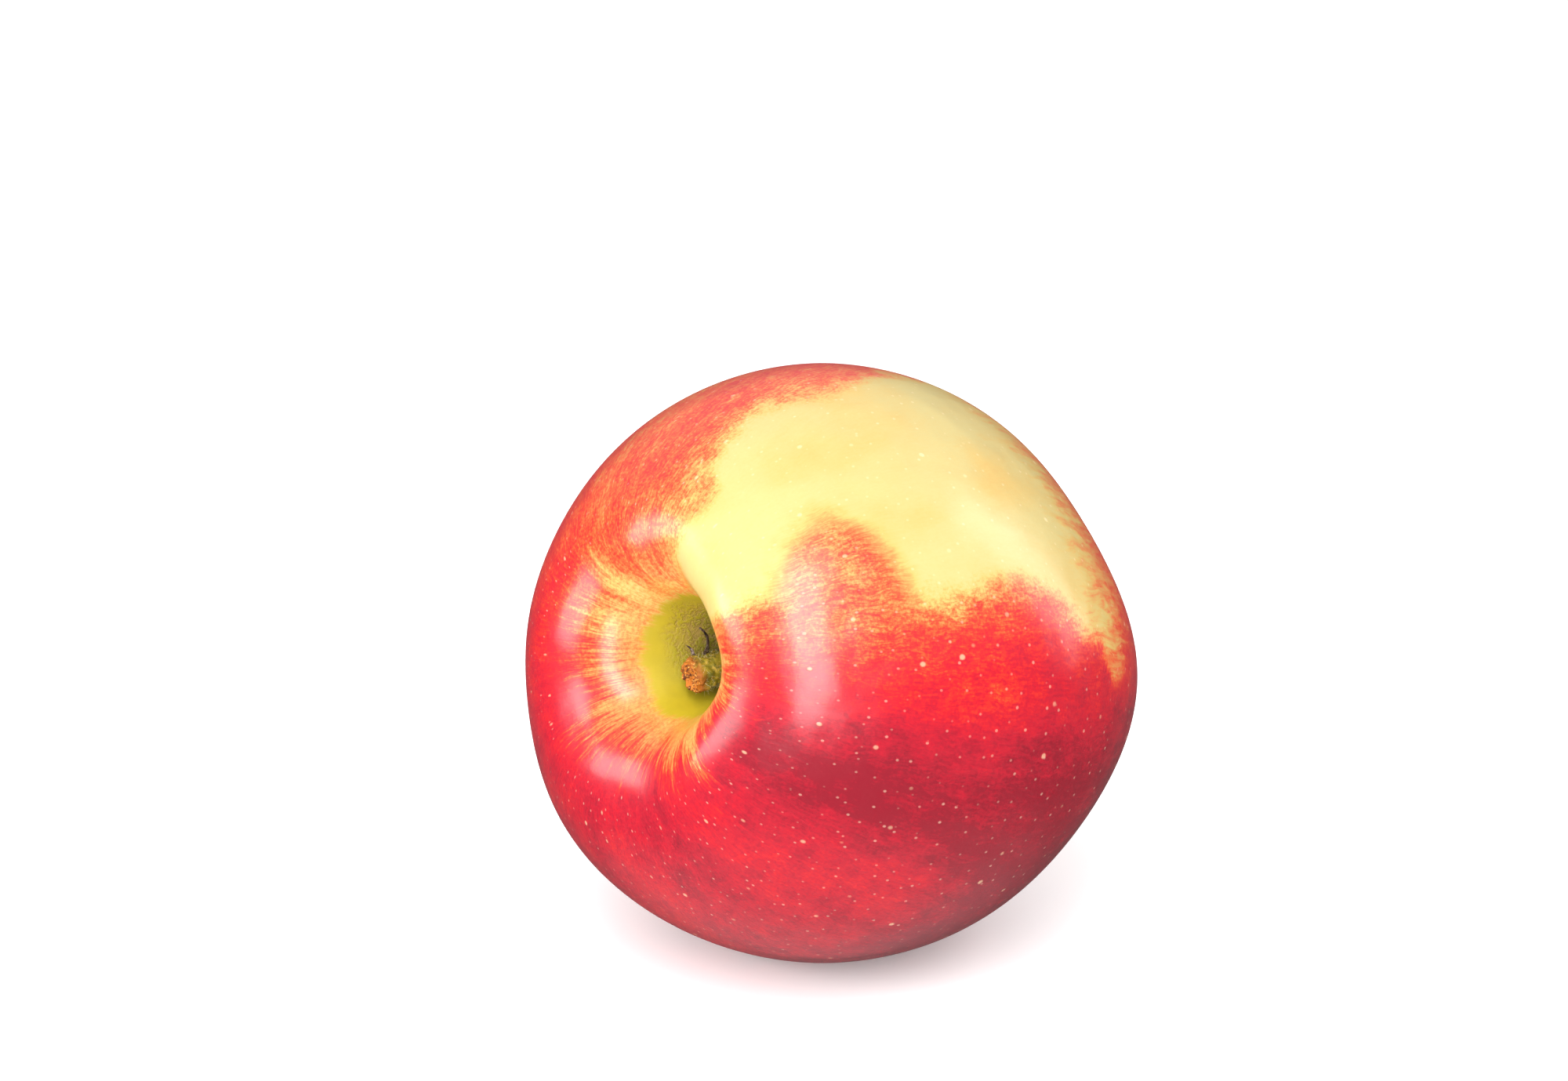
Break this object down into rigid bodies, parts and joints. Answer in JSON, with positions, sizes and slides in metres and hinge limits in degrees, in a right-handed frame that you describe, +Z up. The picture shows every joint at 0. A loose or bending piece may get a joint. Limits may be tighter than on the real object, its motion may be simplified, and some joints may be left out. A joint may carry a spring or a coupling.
{
  "type": "apple",
  "caption": "Whole ripe eating apple lying on its side, with a short stem stub in a deep cavity and a dried calyx at the base.",
  "frame": {"origin": "centre of the underside of the bounding box, on the surface that the apple rests on", "axes": "+Z up; the apple lies on its side with its stem end towards -X and -Y, 15 degrees above level, and its calyx end towards +X and +Y"},
  "size_m": [0.0812, 0.0812, 0.0792],
  "materials": {
    "skin": "waxy skin, satin gloss, red over yellow",
    "stem": "matt green-brown bark with short hairs",
    "bract": "matt, withered grey-brown",
    "sepal": "matt, dry and leathery, downy",
    "stamens": "matt, dry dark brown"
  },
  "bodies": {
    "root": {"fruit": "skin", "stem": "stem", "bract_1": "bract", "bract_2": "bract", "bract_3": "bract", "sepal_1": "sepal", "sepal_2": "sepal", "sepal_3": "sepal", "sepal_4": "sepal", "sepal_5": "sepal", "dried_stamens": "stamens"}
  },
  "joints": []
}
